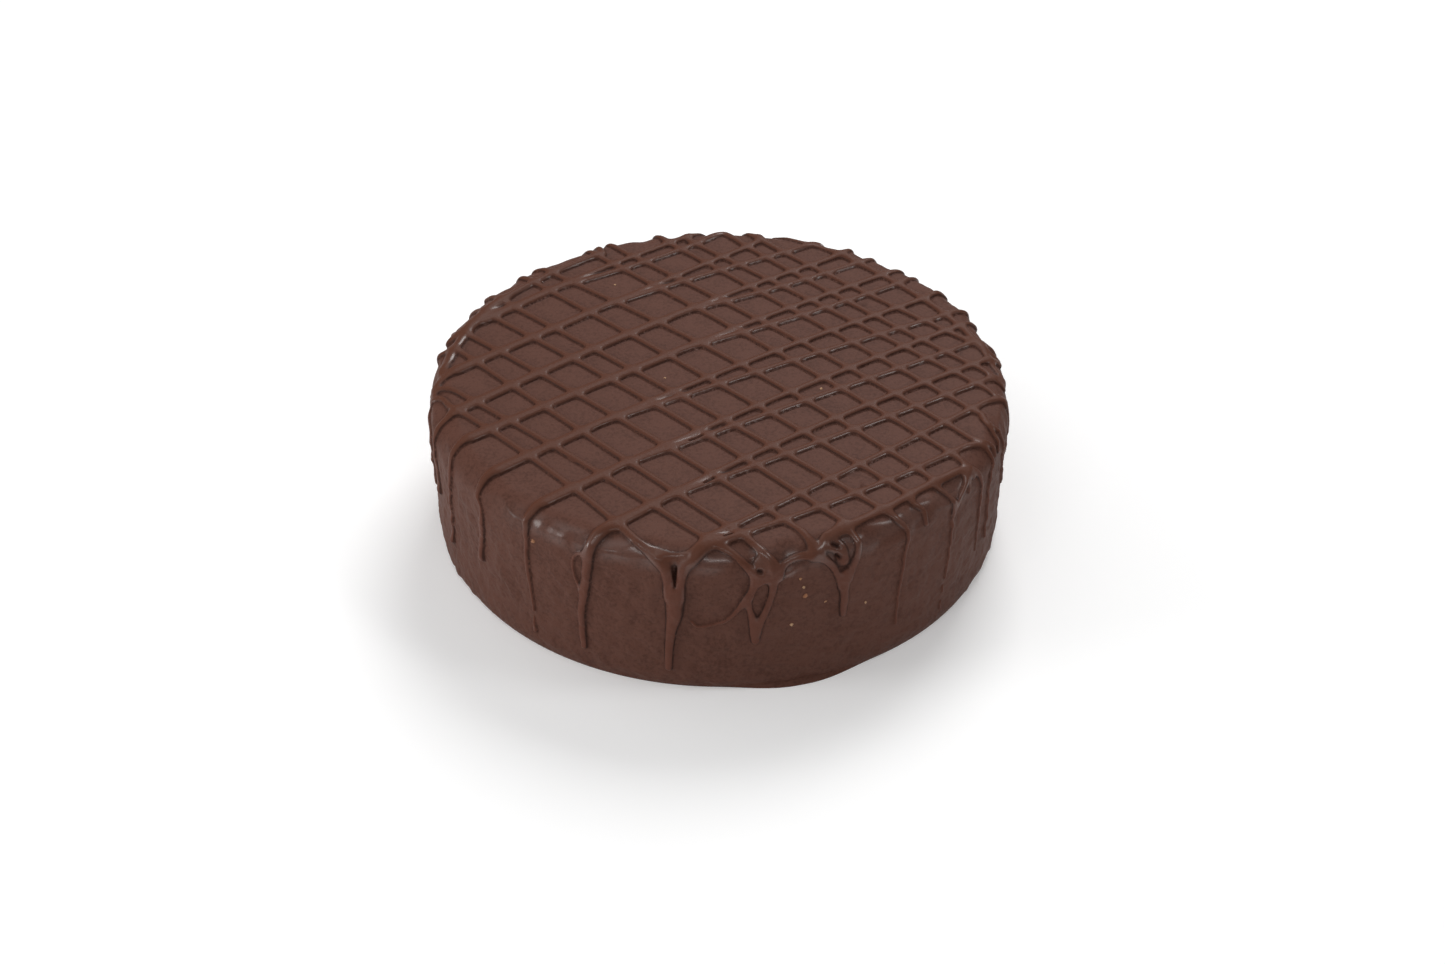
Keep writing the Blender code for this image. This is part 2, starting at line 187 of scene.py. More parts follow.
# A wet lump of glaze under the arch: its angle, its distance down, how far it reaches along the
# rim and across, how far its left end sinks for each mm of its way, and how far it rises.
LUMP_ANGLE, LUMP_DOWN, LUMP_REACH, LUMP_WIDTH, LUMP_LEAN = -77.6, 15.2, 3.2, 1.7, 0.4
LUMP_RISE = 1.25

# Where glaze ran together at the foot: the angles between which it did, and how far it reaches out.
POOL_FROM, POOL_TO, POOL_REACH = -90.0, -58.0, 3.4
POOL_HEIGHT = 2.0           # how far up it reaches
POOL_FADES = (0.1, 1)       # between which shares of the way from its middle to its end it thins

# At the back the glaze ran down from these strand ends, for lengths drawn by chance.
BACK_SEED = 7
BACK_ENDS = (12.7, 25.4, 42.2, 60.9, 80.6, 97.5, 119.0, 133.7, 156.3, 172.3)
BACK_SHORTEST, BACK_LONGEST = 16.0, 54.0
BACK_WIDTHS = (1.75, 3.0)   # least and greatest width at a run's low end
BACK_WIDENING = 0.7         # how much broader it is where the edge's curve ends
BACK_SWAY = 1.5             # most that a run there strays to a side, in degrees,
BACK_BEND = 9.0             # and how far down it has done so

# ---- how fine the surface is
SPACING = 0.34   # distance between neighbouring points of the first grid
MOST_TRIANGLES = 197_000  # what thinning leaves of it
SIDE_STRETCH = 1.3          # how much farther apart the rows of points lie on the side
CLOSEST_ROWS = 0.2          # least distance between the shoulder's last row and the side's first
STEADY_BELOW = 3.0          # height below which the skin's unevenness dies away
PATH_STEP = 1.2             # distance between the points along a strand's middle line
PATH_PART = 12              # how many stretches of a path are searched at a time
WAVE_COUNT = 14             # how many plane waves make up smooth unevenness,
WAVE_SPREAD = (0.7, 1.4)    # and between which shares of its wavelength theirs lie

# ---- the skin's shape


def skin(angle, down):
    """Points on the smooth skin and the ways out there, as rows of x, y and z.

    From the edge of the flat top the skin bends over a quarter circle of radius SHOULDER and goes
    straight down. At the foot it draws in by FOOT_INSET times the square of how near the base is.
    """
    turn = np.radians(angle)
    bend = np.clip(down / SHOULDER, 0, math.pi / 2)
    height = SIDE_TOP + SHOULDER * np.cos(bend) - np.maximum(down - SHOULDER_ARC, 0)
    near_base = np.maximum(1 - height / FOOT_HEIGHT, 0)
    radius = TOP_RADIUS + np.minimum(down, 0) + SHOULDER * np.sin(bend) - FOOT_INSET * near_base**2
    lean = 2 * FOOT_INSET / FOOT_HEIGHT * near_base
    sideways, upwards = np.sin(bend), np.cos(bend) - lean
    length = np.hypot(sideways, upwards)
    points = np.stack([radius * np.cos(turn), radius * np.sin(turn), height], -1)
    outward = np.stack([sideways * np.cos(turn), sideways * np.sin(turn), upwards], -1)
    return points, outward / length[..., None]


def waves(points, length, seed):
    """Smooth unevenness of about that wavelength, around 0 with a spread of 1.

    It is a sum of plane sine waves with random directions, lengths and starts.
    """
    chance = np.random.default_rng(seed)
    ways = chance.normal(size=(3, WAVE_COUNT))
    ways /= np.linalg.norm(ways, axis=0) * length * chance.uniform(*WAVE_SPREAD, WAVE_COUNT)
    starts = chance.uniform(0, 2 * math.pi, WAVE_COUNT)
    return np.sin(2 * math.pi * (points @ ways) + starts).sum(-1) * math.sqrt(2 / WAVE_COUNT)


def added_waves(points, kinds, start=0):
    """The sum of start and several kinds of waves, each a wavelength, a seed and a height."""
    return sum((waves(points, length, seed) * height for length, seed, height in kinds), start)


def ease(value, low, high):
    """0 below low, 1 above high, and a smooth S between them."""
    share = np.clip((value - low) / (high - low), 0, 1)
    return share * share * (3 - 2 * share)


# ---- the strands' middle lines
HANG = 9.0                  # how far a loose end hangs over the top's edge
LOOSE_END = 3.2             # width of its drop
HANG_DRIFT = 0.7            # how much of its sideways drift it keeps on the way
BESIDE = 1.5                # how far the second strand of a pair lies from the first at the left
BLUR_REACH = 5              # how many points to each side smooth the bend where it leaves,
PARTED_AFTER = 12           # and how many points later it is free of the first

# A strand's section is (1 - t^2)^bend, where t is 0 on its middle line and 1 at its edge.
ROUND, STEEP, SLOPING = 0.6, 0.45, 0.8
FLANK_SHEEN = 1.0           # how glossy a second or single strand's right flank is on the top
CORNER_SHEEN = 0.45         # how glossy the filled corners between crossing strands are


def rim_spot(angle):
    """The spot at the edge of the flat top at an angle, as x and y."""
    turn = math.radians(angle)
    return np.array([math.cos(turn), math.sin(turn)]) * TOP_RADIUS


def bowed(begin, finish, bow, shares):
    """Spots on the way from begin to finish, pushed to the left by a parabola of height bow."""
    way = finish - begin
    left = np.array([-way[1], way[0]]) / np.linalg.norm(way)
    shares = np.asarray(shares)[:, None]
    return begin + way * shares + left * (bow * 4 * shares * (1 - shares))


def curve_through(waypoints):
    """Places along a Catmull-Rom curve through rows of waypoints, about PATH_STEP mm apart."""
    spots = np.asarray(waypoints, float)
    spots = np.vstack([2 * spots[0] - spots[1], spots, 2 * spots[-1] - spots[-2]])
    places = []
    for before, start, end, after in zip(spots, spots[1:], spots[2:], spots[3:]):
        length = math.hypot(math.radians(end[0] - start[0]) * CAKE_RADIUS, end[1] - start[1])
        count = max(1, round(length / PATH_STEP))
        t = (np.arange(count) / count)[:, None]
        places.append(0.5 * (2 * start + (end - before) * t
                             + (2 * before - 5 * start + 4 * end - after) * t**2
                             + (3 * start - before - 3 * end + after) * t**3))
    return np.vstack(places + [spots[-2:-1]])


def back_runs():
    """Runs down the back, in the form of RUNS: each from a strand's end, straight but for a
    sway."""
    chance = random.Random(BACK_SEED)
    runs = []
    for angle in BACK_ENDS:
        length = chance.uniform(BACK_SHORTEST, BACK_LONGEST)
        sway = chance.uniform(-BACK_SWAY, BACK_SWAY)
        low_width = chance.uniform(*BACK_WIDTHS)
        runs.append(((angle, 0, UNDER_WIDTH), (angle + sway, BACK_BEND, low_width + BACK_WIDENING),
                     (angle + sway, length, low_width)))
    return tuple(runs)


def beyond_rim(inner, rim_angle, width, runs):
    """Angle, distance down and width past a strand's end: its run, or a short loose end.

    inner is a spot on the strand just inside the rim, which gives the way it goes on.
    """
    before = (math.degrees(math.atan2(inner[1], inner[0])), np.hypot(*inner) - TOP_RADIUS, width)
    before = (rim_angle + (before[0] - rim_angle + 180) % 360 - 180, *before[1:])
    carried_on = [run for run in runs if run[0][:2] == (rim_angle, 0)]
    if carried_on:
        waypoints = (before, *carried_on[0])
    else:
        drift = (rim_angle - before[0]) / -before[1]
        waypoints = (before, (rim_angle, 0, width), (rim_angle + drift * HANG / 2, HANG / 2, width),
                     (rim_angle + drift * HANG * HANG_DRIFT, HANG, LOOSE_END))
    return curve_through(waypoints)[1:]


def strand(places_3d, widths, lift, bends=(ROUND, ROUND)):
    """A strand of glaze: its middle line on the skin, half widths and rises along it, and the bend
    of its section on the left and on the right."""
    return {"path": places_3d, "half": widths / 2, "rise": LEAST_RISE + RISE_SHARE * widths + lift,
            "bends": bends, "sheen": np.zeros(len(widths))}


def strand_on_top(start, end, bow, widths, lift, runs, bends=(ROUND, ROUND)):
    """A strand from rim to rim, with what hangs over at both ends. widths are a function of the
    share of the way."""
    begin, finish = rim_spot(start), rim_spot(end)
    count = round(np.linalg.norm(finish - begin) / PATH_STEP)
    shares = np.linspace(0, 1, count + 1)[1:-1]
    spots = bowed(begin, finish, bow, shares)
    left = beyond_rim(spots[0], start, widths(0), runs)[::-1]
    right = beyond_rim(spots[-1], end, widths(1), runs)
    middle = np.column_stack([spots, np.full(len(spots), CAKE_HEIGHT)])
    path = np.vstack([skin(left[:, 0], left[:, 1])[0], middle, skin(right[:, 0], right[:, 1])[0]])
    width = np.concatenate([left[:, 2], [widths(share) for share in shares], right[:, 2]])
    return strand(path, width, lift, bends)


def over_width(share):
    """A strand on top's width at that share of its way: BROAD at the left rim, where two passes lie
    on each other."""
    return OVER_WIDTH + (BROAD - OVER_WIDTH) * (1 - ease(share, 0, NARROWS_BY))


def path_on_skin(waypoints):
    """The middle line through waypoints, as points on the skin, and the widths along it."""
    places = curve_through(waypoints)
    return skin(places[:, 0], places[:, 1])[0], places[:, 2]


def all_strands():
    """Every strand of the lattice, every run of glaze down the side and the films between them."""
    runs = RUNS + back_runs()
    strands, ends = [], set()
    for start, end, bow in UNDER_STRANDS:
        strands.append(strand_on_top(start, end, bow, lambda share: UNDER_WIDTH, 0, runs))
        ends |= {start, end}
    for (start, end, bow), (leaves, second_end, second_bow) in PAIRED_STRANDS:
        strands.append(strand_on_top(start, end, bow, over_width, OVER_LIFT, runs, (ROUND, STEEP)))
        strands.append(second_strand(start, end, bow, leaves, second_end, second_bow, runs))
        ends |= {start, end, second_end}
    for start, end, bow in SINGLE_STRANDS:
        single = strand_on_top(start, end, bow, over_width, OVER_LIFT, runs, (ROUND, SLOPING))
        on_top = single["path"][:, 2] > CAKE_HEIGHT - 1
        strands.append({**single, "sheen": FLANK_SHEEN * on_top})
        ends |= {start, end}
    for run in runs:
        if run[0][1] != 0 or run[0][0] not in ends:
            strands.append(strand(*path_on_skin(run), 0, (STEEP, STEEP)))
    for film in FILMS:
        path, widths = path_on_skin(film)
        strands.append({**strand(path, widths, 0), "rise": np.full(len(path), FILM_RISE)})
    return strands


def second_strand(start, end, bow, leaves, second_end, second_bow, runs):
    """The second strand of a pair, which lies BESIDE mm to the right of the first on the way to
    where it leaves, and goes its own way from there. The bend is smoothed by a moving average."""
    begin, finish = rim_spot(start), rim_spot(end)
    length = np.linalg.norm(finish - begin)
    parting = bowed(begin, finish, bow, [leaves])[0]
    beside = bowed(begin, finish, bow, np.arange(0, leaves * length, PATH_STEP) / length)
    way = (finish - begin) / length
    beside += np.array([way[1], -way[0]]) * BESIDE
    count = round(np.linalg.norm(rim_spot(second_end) - parting) / PATH_STEP)
    apart = bowed(parting, rim_spot(second_end), second_bow, np.linspace(0, 1, count + 1)[:-1])
    spots = np.vstack([beside, apart])
    padded = np.vstack([spots[:1]] * BLUR_REACH + [spots] + [spots[-1:]] * BLUR_REACH)
    blur = np.ones(2 * BLUR_REACH + 1) / (2 * BLUR_REACH + 1)
    eased = np.column_stack([np.convolve(padded[:, axis], blur, "valid") for axis in (0, 1)])
    spots[BLUR_REACH:-BLUR_REACH] = eased[BLUR_REACH:-BLUR_REACH]
    right = beyond_rim(spots[-1], second_end, OVER_WIDTH, runs)
    middle = np.column_stack([spots, np.full(len(spots), CAKE_HEIGHT)])
    path = np.vstack([middle, skin(right[:, 0], right[:, 1])[0]])
    width = np.concatenate([np.full(len(spots), OVER_WIDTH), right[:, 2]])
    alone = ease(np.arange(len(path)), len(beside), len(beside) + PARTED_AFTER)
    return {**strand(path, width, SECOND_LIFT, (ROUND, SLOPING)), "sheen": FLANK_SHEEN * alone}


# ---- the relief that the glaze makes
FLOW_TOGETHER = 0.75        # how far, in mm, neighbouring strands draw together where they meet
CROSSING_SWELL = 0.16       # how much higher the glaze is where two strands cross
EDGE_SOFTNESS = 0.035       # how softly a strand's edge runs out into the glaze under it
REACH = 2.6                 # how far past its edge a strand still counts
FAR_ACROSS = 3              # half widths from its middle line past which a strand's rise is 0
CREASE_SHADE_AT, CREASE_SHADE_WIDTH = 0.9, 0.13  # where painted shade lies in the crease at a strand's foot, in shares of its half width
TOP_CREASE_SHADE = 0.775            # how dark the painted crease shade is on the top, against that on the side

# Between which shares of a strand's half width something comes in or ends.
COLOUR_ENDS = (0.75, 1.0)   # the drizzle's own colour
GLOSS_BEGINS, GLOSS_ENDS = (0.42, 0.56), (0.7, 0.8)  # the band of gloss on its flank
GLAZE_BEGINS = (0.97, 1.04)  # the shading of the plain glaze beside it
CREASE_SHADE_BEGINS = (0.3, 1.5)    # between which half widths, in mm, a strand gets its painted crease shade
CORNER_BEGINS = (0.25, 0.42)  # between which shares of mixing strands make a filled corner

# Between which distances down a stretch of the skin begins or ends.
TOP_ENDS = (-8, 0)
SHOULDER_BEGINS, SHOULDER_ENDS = (-2, 5), (12, 20)
SIDE_BEGINS = (10, 22)
RUN_BEGINS = (6, 16)        # where drizzle takes the looks of a run
SHINE_BEGINS, SHINE_ENDS = (3.5, 7), (10, 16)

# Waves over the glaze: each a wavelength, a seed and a height.
SLOW_WAVES = ((55, 1, 0.2), (18, 2, 0.05))
CALM_TOP = 0.85             # how much weaker these are on the top
SHOULDER_LUMPS = ((12, 3, 0.3), (6, 4, 0.09))
LEVEL_STROKES, LEVEL_STRETCH = ((4.5, 5, 0.05),), 6  # and how many times longer they run level
MOTTLING = ((9, 11, 0.17), (3.5, 6, 0.08))
SLANTING_STROKES, SLANT_STRETCH = ((5, 12, 0.07),), 5
SLANT = (0.35, -0.6, -0.7)  # the way that slanting strokes run at the left,
SLANT_BEGINS = (30, 90)     # and how far left of the middle they come in
LIP_DOWN, LIP_WIDTH, LIP_RISE = 9.0, 2.0, 0.55  # where a fold lies on the shoulder, and its size
LIP_MEANDER = ((17, 8, 1.3),)
LIP_GAPS, LIP_GAP_SEED, LIP_BEGINS = 26, 7, (-0.8, 1)  # how it comes and goes along the rim
FULLER, FULLEST_DOWN, FULLER_WIDTH = 1.1, 6, 6  # how far the shoulder bulges at the back, and where
BACK_BEGINS = (0, 0.7)      # between which sines of the angle the back begins

# Gloss lies in patches on the shoulder, round this angle, where waves of this size and seed are
# high. The pairs are cosines of the turn from there, and heights, between which it comes in.
SHINE_ANGLE, SHINE_SPAN = -82, (0.6, 0.8)
PATCH_SIZE, PATCH_SEED, PATCH_BEGINS = 10, 9, (-1.6, 0.4)
LUMP_SHINE = (0.1, 0.6)     # between which shares of its height the wet lump turns glossy


def near_path(points, path, reach):
    """How far each point is from a path of short straight stretches, where along it is nearest, and
    whether the point lies to the right of its way, seen from above.

    The distance is to the nearest place on the nearest stretch, and stays endless for points
    farther away than reach. The place is counted in stretches.
    """
    gap = np.full(len(points), np.inf)
    place = np.zeros(len(points))
    right = np.zeros(len(points), bool)
    for first in range(0, len(path) - 1, PATH_PART):
        part = path[first:first + PATH_PART + 1]
        low, high = part.min(0) - reach, part.max(0) + reach
        inside = np.flatnonzero(((points > low) & (points < high)).all(1))
        start, step = part[:-1], np.diff(part, axis=0)
        rest = points[inside, None] - start
        share = np.clip((rest * step).sum(-1) / (step**2).sum(-1), 0, 1)
        distance = np.linalg.norm(rest - share[..., None] * step, axis=-1)
        nearest = distance.argmin(1)
        row = np.arange(len(inside))
        closer = distance[row, nearest] < gap[inside]
        gap[inside[closer]] = distance[row, nearest][closer]
        place[inside[closer]] = (first + nearest + share[row, nearest])[closer]
        aside = rest[row, nearest, 0] * step[nearest, 1] - rest[row, nearest, 1] * step[nearest, 0]
        right[inside[closer]] = (aside > 0)[closer]
    return gap, place, right


def drizzle(points, strands):
    """What the drizzle does at each point, as five rows of numbers: its rise over the skin, 1 on
    strands running out to 0 at their edges, 1 where shade is painted into the creases at their
    feet, how glossy they are, and 0 on strands and 1 beside them.

    Each strand gives a signed distance from its edge. Where strands meet, these are joined by the
    soft minimum -k log(sum(exp(-distance / k))), which fills the corners as liquid glaze does, and
    their sizes are averaged with exp(-distance / k) as weights. The rise is that of a bead,
    (1 - t^2)^bend, where t is 0 on the middle line and 1 at the edge. It swells where strands mix,
    which is 1 less the sum of the squared weights over the square of their sum. The painted shade
    in the crease is a bell curve over t. Gloss lies in a band of t, on right flanks and in filled
    corners.
    """
    total = np.zeros(len(points))
    squares, half, rise, bend, sheen = (np.zeros(len(points)) for _ in range(5))
    for one in strands:
        reach = one["half"].max() + REACH
        gap, place, right = near_path(points, one["path"], reach)
        near = np.flatnonzero(gap < reach)
        along = np.arange(len(one["path"]))
        own_half = np.interp(place[near], along, one["half"])
        weight = np.exp(-(gap[near] - own_half) / FLOW_TOGETHER)
        total[near] += weight
        squares[near] += weight**2
        half[near] += weight * own_half
        rise[near] += weight * np.interp(place[near], along, one["rise"])
        bend[near] += weight * np.where(right[near], one["bends"][1], one["bends"][0])
        sheen[near] += weight * right[near] * np.interp(place[near], along, one["sheen"])
    seen = total > 0
    total = np.where(seen, total, 1)
    from_edge = np.where(seen, -FLOW_TOGETHER * np.log(total), REACH)
    half, rise, bend, sheen = half / total, rise / total, bend / total, sheen / total
    meeting = 1 - squares / total**2
    swell = 1 + 2 * CROSSING_SWELL * meeting
    across = np.clip(1 + from_edge / np.where(seen, half, 1), 0, None)
    inner = (1 - np.minimum(across, FAR_ACROSS)**2) / EDGE_SOFTNESS
    bead = (EDGE_SOFTNESS * np.logaddexp(0, inner)) ** np.where(seen, bend, 1)
    mask = (1 - ease(across, *COLOUR_ENDS)) * seen
    # Painted shade: a band of dark colour along the crease at each strand's foot, on both sides.
    edge = np.exp(-((across - CREASE_SHADE_AT) / CREASE_SHADE_WIDTH)**2) * seen * ease(half, *CREASE_SHADE_BEGINS)
    sheen = np.maximum(sheen, CORNER_SHEEN * ease(meeting, *CORNER_BEGINS))
    sheen *= ease(across, *GLOSS_BEGINS) * (1 - ease(across, *GLOSS_ENDS))
    beside = ease(across, *GLAZE_BEGINS) * seen + ~seen
    return np.where(seen, rise * swell * bead, 0), mask, edge, sheen, beside


def pits(points):
    """How far pits lower the surface: by PIT_DEPTH times a bell curve across each."""
    lowered = np.zeros(len(points))
    for pit in PITS:
        path, widths = path_on_skin(pit)
        gap, place, _ = near_path(points, path, 2 * widths.max())
        near = np.isfinite(gap)
        width = np.interp(place[near], np.arange(len(path)), widths)
        lowered[near] = np.maximum(lowered[near], PIT_DEPTH * np.exp(-(2 * gap[near] / width)**2))
    return lowered


def stretched(points, way, times):
    """The points squeezed along a way, so that waves over them come out that many times longer."""
    way = np.array(way) / np.linalg.norm(way)
    return points - np.outer(points @ way, way) * (1 - 1 / times)


def unevenness(points, angle, down):
    """How far the glaze itself stands proud of or below the smooth skin, without the drizzle.

    The top is nearly flat. The shoulder is fuller round the back. At the front the glaze set there
    in lumps, with a fold LIP_DOWN below the rim that comes and goes along it. The side is mottled,
    has the strokes of the spatula, which run level, and at the left slanting ones.
    """
    on_top = 1 - ease(down, *TOP_ENDS)
    on_shoulder = ease(down, *SHOULDER_BEGINS) * (1 - ease(down, *SHOULDER_ENDS))
    on_side = ease(down, *SIDE_BEGINS)
    at_back = ease(np.sin(np.radians(angle)), *BACK_BEGINS)
    slow = added_waves(points, SLOW_WAVES)
    lumps = added_waves(points, SHOULDER_LUMPS) * on_shoulder
    fuller = FULLER * at_back * np.exp(-((down - FULLEST_DOWN) / FULLER_WIDTH)**2)
    comes_and_goes = ease(waves(points * [1, 1, 0.2], LIP_GAPS, LIP_GAP_SEED), *LIP_BEGINS)
    meander = added_waves(points * [1, 1, 0], LIP_MEANDER)
    fold = LIP_RISE * np.exp(-((down - LIP_DOWN - meander) / LIP_WIDTH)**2) * comes_and_goes
    level = points / np.array([LEVEL_STRETCH, LEVEL_STRETCH, 1])
    strokes = added_waves(points, MOTTLING, start=added_waves(level, LEVEL_STROKES))
    at_left = ease(-points[:, 0], *SLANT_BEGINS)
    slanting = added_waves(stretched(points, SLANT, SLANT_STRETCH), SLANTING_STROKES) * at_left
    slow *= 1 - CALM_TOP * on_top
    return slow + lumps + fuller + fold + (strokes + slanting) * on_side


def pool(points, angle):
    """How far the glaze that ran together at the foot reaches out, most at the base."""
    middle, half = (POOL_FROM + POOL_TO) / 2, (POOL_TO - POOL_FROM) / 2
    beside = 1 - ease(np.abs(angle - middle) / half, *POOL_FADES)
    return POOL_REACH * beside * (1 - ease(points[:, 2], 0, POOL_HEIGHT))


def wet_lump(angle, down):
    """1 in the middle of the wet lump, running out to 0 in a bell curve both ways."""
    along = np.radians(angle - LUMP_ANGLE) * CAKE_RADIUS
    sunk = (down - LUMP_DOWN + LUMP_LEAN * along) / LUMP_WIDTH
    return np.exp(-(along / LUMP_REACH)**2 - sunk**2)


def shine(points, angle, down):
    """How glossy the glaze set: in patches low on the shoulder at the front, where slow waves are
    high, and on the wet lump."""
    at_front = ease(np.cos(np.radians(angle - SHINE_ANGLE)), *SHINE_SPAN)
    on_shoulder = ease(down, *SHINE_BEGINS) * (1 - ease(down, *SHINE_ENDS))
    patches = ease(waves(points, PATCH_SIZE, PATCH_SEED), *PATCH_BEGINS)
    return np.maximum(on_shoulder * at_front * patches, ease(wet_lump(angle, down), *LUMP_SHINE))


# ---- the surface


def disc_grid(count):
    """count by count points spread evenly over a disc of radius 1, as x and y.

    The square's rings become circles: of a and b, both from -1 to 1, the larger is the radius, and
    the smaller over the larger times 45 degrees is the turn.
    """
    steps = np.linspace(-1, 1, count)
    across, along = np.meshgrid(steps, steps, indexing="ij")
    wide = np.abs(across) > np.abs(along)
    radius = np.where(wide, across, along)
    share = np.where(wide, along, across) / np.where(radius == 0, 1, radius) * math.pi / 4
    turn = np.where(wide, share, math.pi / 2 - share)
    return radius * np.cos(turn), radius * np.sin(turn)


def square_edge(count):
    """Indices of the points along the edge of a count by count grid, anticlockwise."""
    low, high = np.arange(count - 1), np.arange(count - 1, 0, -1)
    return np.concatenate([low * count, (count - 1) * count + low,
                           high * count + count - 1, high])


def cake_surface():
    """Angle and distance down of all points of the skin, and the faces between them.

    A disc grid covers the flat top, rings as fine as its edge go down to the base, and one point
    in the middle closes the base.
    """
    count = int(2 * TOP_RADIUS / SPACING) + 1
    x, y = disc_grid(count)
    angle = np.degrees(np.arctan2(y, x)).ravel()
    down = ((np.hypot(x, y) - 1) * TOP_RADIUS).ravel()
    cell = (np.arange(count - 1)[:, None] * count + np.arange(count - 1)).ravel()
    quads = [np.stack([cell, cell + count, cell + count + 1, cell + 1], -1)]
    edge = square_edge(count)
    shoulder_rows = np.arange(1, math.ceil(SHOULDER_ARC / SPACING)) * SPACING
    side_rows = np.linspace(SHOULDER_ARC, SIDE_END, math.ceil(SIDE_TOP / SPACING / SIDE_STRETCH))
    rows = np.concatenate([shoulder_rows[shoulder_rows < SHOULDER_ARC - CLOSEST_ROWS], side_rows])
    around = len(edge)
    upper = edge
    for number in range(len(rows)):
        lower = count * count + number * around + np.arange(around)
        quads.append(np.stack([lower, np.roll(lower, -1), np.roll(upper, -1), upper], -1))
        upper = lower
    angle = np.concatenate([angle, np.tile(angle[edge], len(rows))])
    down = np.concatenate([down, np.repeat(rows, around)])
    middle = len(angle)
    fan = np.stack([np.full(around, middle), np.roll(upper, -1), upper], -1)
    return angle, down, np.concatenate(quads), fan


def mesh_piece(name, points, quads, triangles, values):
    """An object with smooth faces at the given points in mm. values are named numbers per point."""
    mesh = bpy.data.meshes.new(name)
    loops = np.concatenate([quads.ravel(), triangles.ravel()]).astype(np.int32)
    starts = np.concatenate([np.arange(len(quads)) * 4,
                             len(quads) * 4 + np.arange(len(triangles)) * 3]).astype(np.int32)
    mesh.vertices.add(len(points))
    mesh.vertices.foreach_set("co", (points * MM).astype(np.float32).ravel())
    mesh.loops.add(len(loops))
    mesh.loops.foreach_set("vertex_index", loops)
    mesh.polygons.add(len(starts))
    mesh.polygons.foreach_set("loop_start", starts)
    mesh.update(calc_edges=True)
    for key, numbers in values.items():
        attribute = mesh.attributes.new(key, "FLOAT", "POINT")
        attribute.data.foreach_set("value", numbers.astype(np.float32))
    mesh.shade_smooth()
    piece = bpy.data.objects.new(name, mesh)
    bpy.context.scene.collection.objects.link(piece)
    return piece


def facing(mesh):
    """The ways out of a mesh at its points, as rows of x, y and z."""
    ways = np.empty(len(mesh.vertices) * 3, np.float32)
    mesh.vertex_normals.foreach_get("vector", ways)
    return ways.reshape(-1, 3)


def closed_at_base(points):
    """The points, none of them under the base, and one more in its middle."""
    return np.vstack([np.maximum(points, [-np.inf, -np.inf, 0]), [0, 0, 0]])


def thinned(piece, outward, most):
    """Merges the piece's faces, flattest first, until at most that many triangles are left.

    outward are the ways out of the fine surface. They are kept at the points that stay, so that the
    piece looks as smooth as before.
    """
    mesh = piece.data
    kept = mesh.attributes.new("outward", "FLOAT_VECTOR", "POINT")
    kept.data.foreach_set("vector", outward.astype(np.float32).ravel())
    triangles = sum(len(polygon.vertices) - 2 for polygon in mesh.polygons)
    thin = piece.modifiers.new("thin", "DECIMATE")
    thin.ratio = min(1, most / triangles)
    bpy.context.view_layer.objects.active = piece
    bpy.ops.object.modifier_apply(modifier=thin.name)
    outward = np.empty(len(mesh.vertices) * 3, np.float32)
    mesh.attributes["outward"].data.foreach_get("vector", outward)
    outward = outward.reshape(-1, 3)
    outward /= np.linalg.norm(outward, axis=1)[:, None]
    mesh.attributes.remove(mesh.attributes["outward"])
    mesh.normals_split_custom_set_from_vertices(outward)
    return piece


def glazed_cake():
    """The whole cake as one closed surface.

    The skin is moved outwards by its unevenness, the wet lump and the drizzle's rise, inwards by
    the pits, and at the foot outwards by the pool. Beside strands it is shaded as it would be
    without the drizzle, so that the strands' edges look crisp.
    """
    angle, down, quads, fan = cake_surface()
    points, outward = skin(angle, down)
    height, mask, edge, sheen, beside = drizzle(points, all_strands())
    steady = ease(points[:, 2], 0, STEADY_BELOW)
    uneven = (unevenness(points, angle, down) + LUMP_RISE * wet_lump(angle, down)) * steady
    sunk = pits(points)
    low = ease(down, *RUN_BEGINS)
    # edge holds painted shade: dark colour in the creases at strands' feet, weaker on the top, and
    # in the pits.
    edge = np.maximum(edge * (TOP_CREASE_SHADE + (1 - TOP_CREASE_SHADE) * low), sunk / PIT_DEPTH)
    gloss = np.maximum(shine(points, angle, down), sheen) * (1 - sunk / PIT_DEPTH)
    gloss = np.where(sheen > 0, gloss, gloss * (1 - edge))
    reach = pool(points, angle)[:, None] * outward * [1, 1, 0]
    plain = closed_at_base(points + outward * uneven[:, None] + reach)
    points = closed_at_base(points + outward * (height - sunk + uneven)[:, None] + reach)
    values = {"drizzle": mask, "edge": edge, "gloss": gloss, "run": mask * low}
    values = {key: np.append(numbers, 0) for key, numbers in values.items()}
    cake = mesh_piece("glazed_cake", plain, quads, fan, values)
    flat = facing(cake.data)
    cake.data.vertices.foreach_set("co", (points * MM).astype(np.float32).ravel())
    cake.data.update()
    beside = np.append(beside, 1)[:, None]
    return thinned(cake, flat * beside + facing(cake.data) * (1 - beside), MOST_TRIANGLES)


# Crumbs caught in the glaze: angle, distance down, radius, and how pale the crumb is.
CRUMBS = (
    (-125.9, 16.9, 0.8, 0.2), (-75.0, 18.6, 0.55, 0.3), (-74.4, 22.4, 0.55, 0.8),
    (-74.0, 26.7, 0.8, 0.1), (-76.4, 39.4, 0.65, 1.0), (-61.7, 37.7, 0.5, 0.7),
    (-69.9, 32.1, 0.4, 0.4), (-13.8, -63.4, 0.55, 0.9), (-172.3, -82.9, 0.45, 0.7),
    (123.5, -24.0, 0.45, 0.8), (62.0, 33.0, 0.6, 0.5), (148.0, 44.0, 0.5, 0.8),
)
CRUMB_SEED, CRUMB_ROWS, CRUMB_COLUMNS = 5, 9, 14
CRUMB_FLATNESS = 0.65       # thickness over width
CRUMB_LENGTHS = (1, 1.5)    # least and greatest length over width
CRUMB_DENTS, DENT_SIZE, DENT_SEED = 0.12, 1.3, 20  # how deep and wide, in shares of its radius


